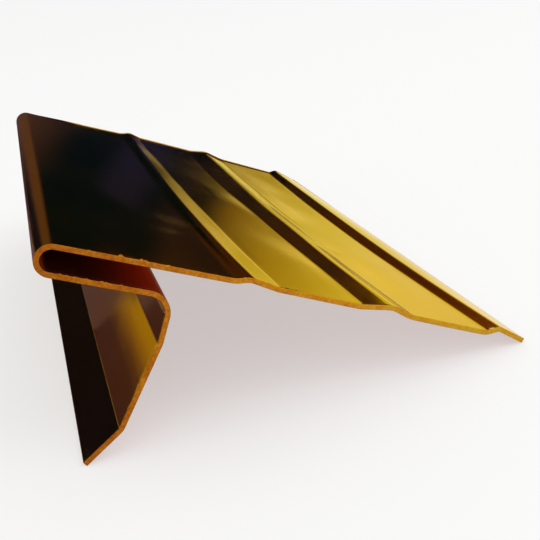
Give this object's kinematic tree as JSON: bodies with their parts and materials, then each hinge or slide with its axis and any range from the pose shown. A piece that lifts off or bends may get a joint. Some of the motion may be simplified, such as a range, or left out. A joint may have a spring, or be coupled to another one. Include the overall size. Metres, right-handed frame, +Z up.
{
  "type": "drip edge",
  "caption": "Bent copper roof-edge strip with a ribbed flange, a rounded open-hem nose and a leg kicked out at its foot, that throws water clear of the fascia.",
  "frame": {"origin": "middle of the rectangle that the strip covers on the floor, at floor level", "axes": "+X from the nose to the roof-side lip, +Y along the strip, +Z up with the strip standing on its drip and its lip"},
  "size_m": [0.06, 0.1016, 0.0283],
  "materials": {
    "copper": "polished sheet with bare cut ends"
  },
  "bodies": {
    "root": {"drip_edge": "copper"}
  },
  "joints": []
}
